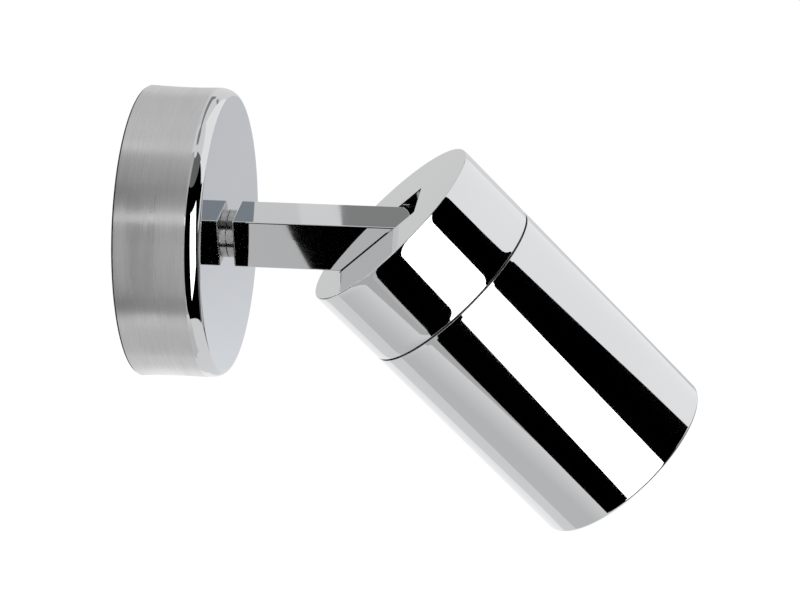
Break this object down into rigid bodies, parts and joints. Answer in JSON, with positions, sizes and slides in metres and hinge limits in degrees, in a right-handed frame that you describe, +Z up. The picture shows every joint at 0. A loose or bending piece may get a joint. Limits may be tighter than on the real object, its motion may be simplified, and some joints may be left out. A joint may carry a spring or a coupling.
{
  "type": "spotlight wall light",
  "caption": "Round wall cup with a short neck, a square arm that swivels on it and a cylindrical spotlight head that tilts on the arm's end.",
  "frame": {"origin": "centre of the wall strap's back face, on the wall plane and on the swivel axis", "axes": "+Y into the wall, -Y out into the room, +Z up, +X along the wall; the head is stored at its lowest tilt, as in the picture"},
  "size_m": [0.085, 0.1617, 0.1315],
  "materials": {
    "chrome": "polished chrome plate",
    "zinc_plate": "zinc-plated sheet steel",
    "steel": "zinc-plated turned steel",
    "brass": "plain brass",
    "seal_rubber": "black rubber",
    "nylon": "natural nylon",
    "ceramic": "unglazed lampholder ceramic",
    "lamp_base_ceramic": "white lamp base",
    "lamp_mirror": "mirrored reflector",
    "clear_glass": "clear glass",
    "lead_brown": "brown lead insulation",
    "lead_blue": "blue lead insulation",
    "lead_green_yellow": "green and yellow lead insulation"
  },
  "bodies": {
    "base": {"base_cover": "chrome", "wall_gasket": "seal_rubber", "wall_bracket": "zinc_plate", "cover_locking_screw": "steel", "cover_stiffener": "zinc_plate", "swivel_stop_peg": "steel", "terminal_block": "nylon", "terminal_inserts": "brass", "terminal_screws": "steel", "terminal_fixing_screws": "steel", "earth_screw": "brass", "earth_clamp_washer": "steel", "base_lead_live": "lead_brown", "base_lead_neutral": "lead_blue", "base_lead_earth": "lead_green_yellow"},
    "arm": {"arm_bar": "chrome", "neck_collar": "chrome", "swivel_stem": "steel", "swivel_bearing_washer": "nylon", "swivel_stop_washer": "steel", "swivel_spring_washer": "steel", "swivel_nut": "steel", "stem_grub_screw": "steel", "arm_lead_live": "lead_brown", "arm_lead_neutral": "lead_blue", "arm_lead_earth": "lead_green_yellow"},
    "head": {"rear_cap": "chrome", "barrel_seal": "seal_rubber", "head_yoke": "zinc_plate", "pivot_pin": "steel", "pivot_washers": "nylon", "yoke_screws": "steel", "lampholder_bracket": "zinc_plate", "lampholder": "ceramic", "lampholder_screws": "steel", "lamp_neck": "lamp_base_ceramic", "lamp_pins": "brass", "lamp_reflector": "lamp_mirror", "lamp_front_glass": "clear_glass", "earth_tag": "brass", "earth_tag_screw": "steel", "head_lead_live": "lead_brown", "head_lead_neutral": "lead_blue", "head_lead_earth": "lead_green_yellow"},
    "barrel": {"barrel": "chrome", "lens_glass": "clear_glass", "lens_gasket": "seal_rubber", "lens_retaining_ring": "steel"}
  },
  "joints": [
    {"name": "arm_swivel", "type": "hinge", "parent": "base", "child": "arm", "pos_m": [0, 0, 0], "axis": [0, -1, 0], "range_deg": [-165, 165]},
    {"name": "head_tilt", "type": "hinge", "parent": "arm", "child": "head", "pos_m": [0, -0.076, 0], "axis": [-1, 0, 0], "range_deg": [0, 71.6]},
    {"name": "barrel_release", "type": "slide", "parent": "head", "child": "barrel", "axis": [0, -0.6782, -0.7349], "range_m": [0, 0.008]}
  ]
}
